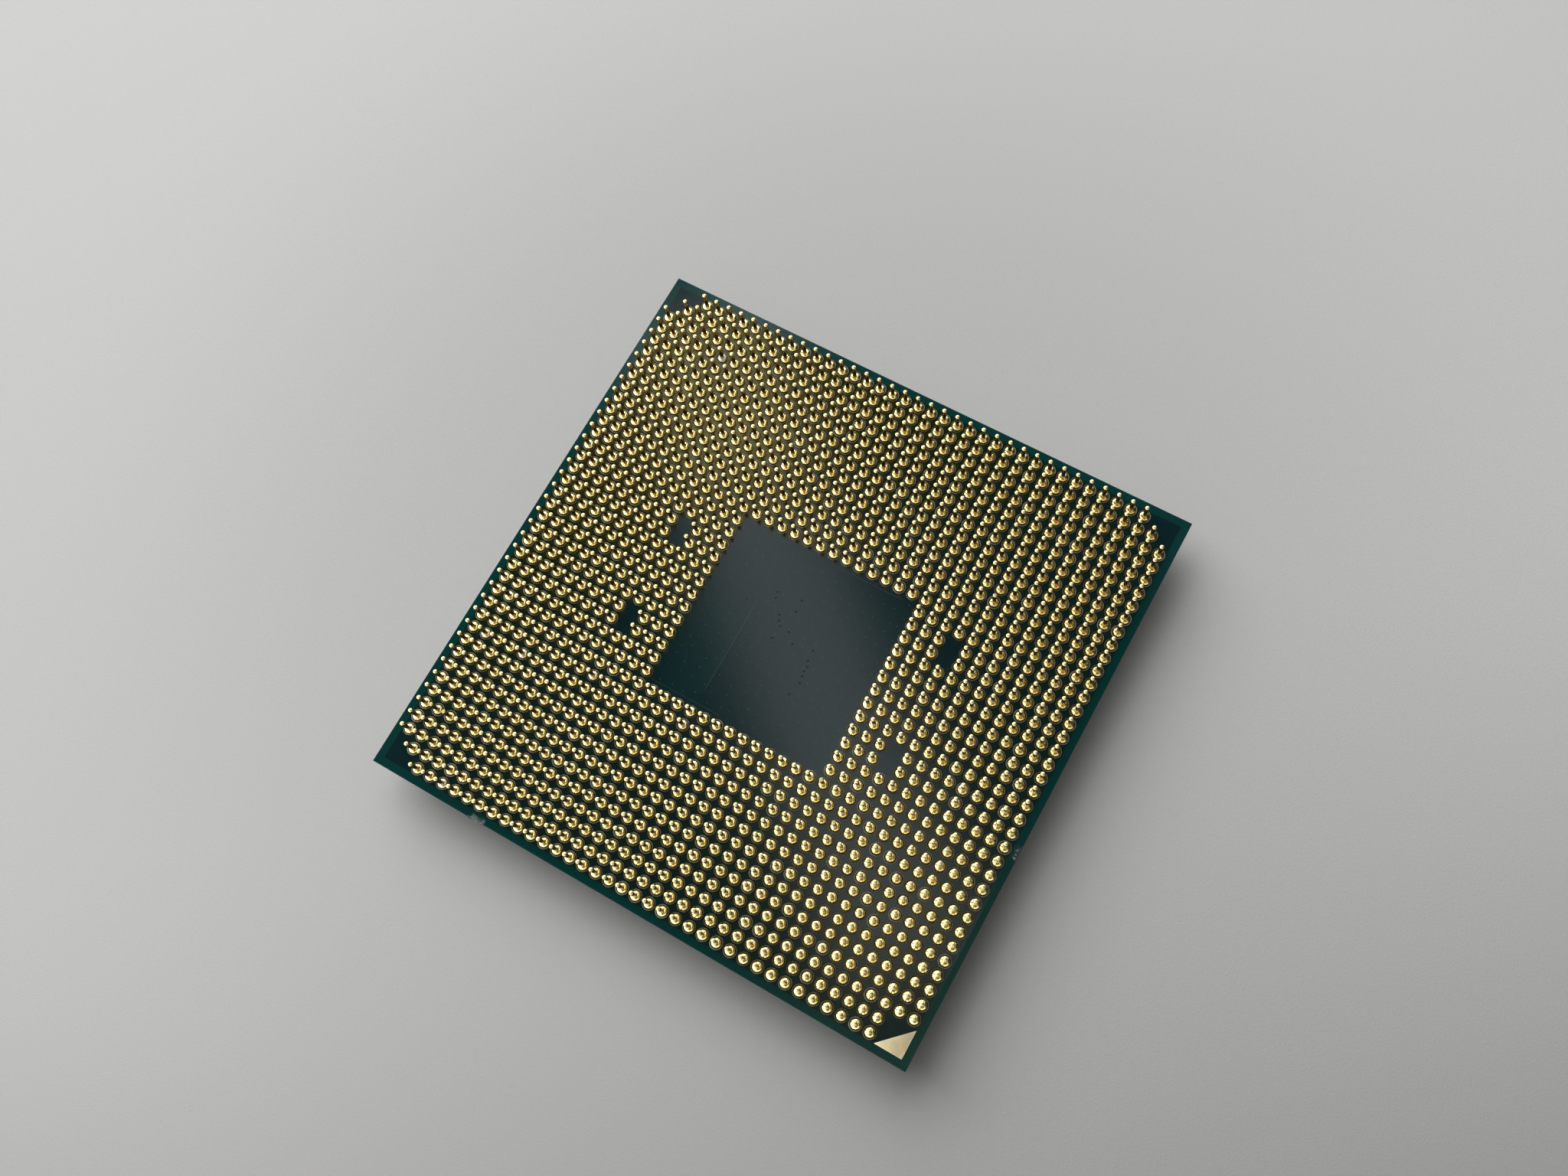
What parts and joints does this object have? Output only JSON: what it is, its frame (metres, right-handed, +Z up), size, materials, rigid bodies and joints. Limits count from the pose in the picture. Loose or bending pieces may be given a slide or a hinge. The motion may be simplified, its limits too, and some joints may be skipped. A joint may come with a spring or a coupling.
{
  "type": "desktop processor",
  "caption": "Square desktop processor with a dark green board, a field of gold contact pins round a bare middle, a corner marker and a metal heat spreader underneath.",
  "frame": {"origin": "middle of the heat spreader's flat outer face, on which the part lies with its pins up", "axes": "+Z up along the pins, X and Y along the board edges, with the pin one marker in the corner at +X and -Y"},
  "size_m": [0.04, 0.04, 0.006],
  "materials": {
    "solder_mask": "glossy dark green solder mask",
    "gold_plate": "bright gold plate",
    "marker_plate": "pale matte gold plate",
    "pin_solder": "grey solder, half bright",
    "nickel_plate": "satin nickel plate over copper",
    "sealant": "matte black silicone",
    "silicon": "ground dark silicon",
    "underfill": "dark cured epoxy",
    "bond_metal": "soft grey bonding metal",
    "capacitor_ceramic": "matte brown ceramic",
    "capacitor_tin": "matte tin"
  },
  "bodies": {
    "root": {"board": "solder_mask", "pin_one_marker": "marker_plate", "heat_spreader": "nickel_plate", "lid_sealant": "sealant", "die": "silicon", "die_underfill": "underfill", "die_bond": "bond_metal", "capacitor_bodies": "capacitor_ceramic", "capacitor_terminals": "capacitor_tin", "pin_solder_back": "pin_solder", "pin_solder_front": "pin_solder", "pin_solder_left": "pin_solder", "pin_solder_right": "pin_solder", "pin_row_01": "gold_plate", "pin_row_02": "gold_plate", "pin_row_03": "gold_plate", "pin_row_04": "gold_plate", "pin_row_05": "gold_plate", "pin_row_06": "gold_plate", "pin_row_07": "gold_plate", "pin_row_08": "gold_plate", "pin_row_09": "gold_plate", "pin_row_10": "gold_plate", "pin_row_11": "gold_plate", "pin_row_12": "gold_plate", "pin_row_13": "gold_plate", "pin_row_14": "gold_plate", "pin_row_15": "gold_plate", "pin_row_16": "gold_plate", "pin_row_17": "gold_plate", "pin_row_18": "gold_plate", "pin_row_19": "gold_plate", "pin_row_20": "gold_plate", "pin_row_21": "gold_plate", "pin_row_22": "gold_plate", "pin_row_23": "gold_plate", "pin_row_24": "gold_plate", "pin_row_25": "gold_plate", "pin_row_26": "gold_plate", "pin_row_27": "gold_plate", "pin_row_28": "gold_plate", "pin_row_29": "gold_plate", "pin_row_30": "gold_plate", "pin_row_31": "gold_plate", "pin_row_32": "gold_plate", "pin_row_33": "gold_plate", "pin_row_34": "gold_plate", "pin_row_35": "gold_plate", "pin_row_36": "gold_plate", "pin_row_37": "gold_plate", "pin_row_38": "gold_plate", "pin_row_39": "gold_plate"}
  },
  "joints": []
}
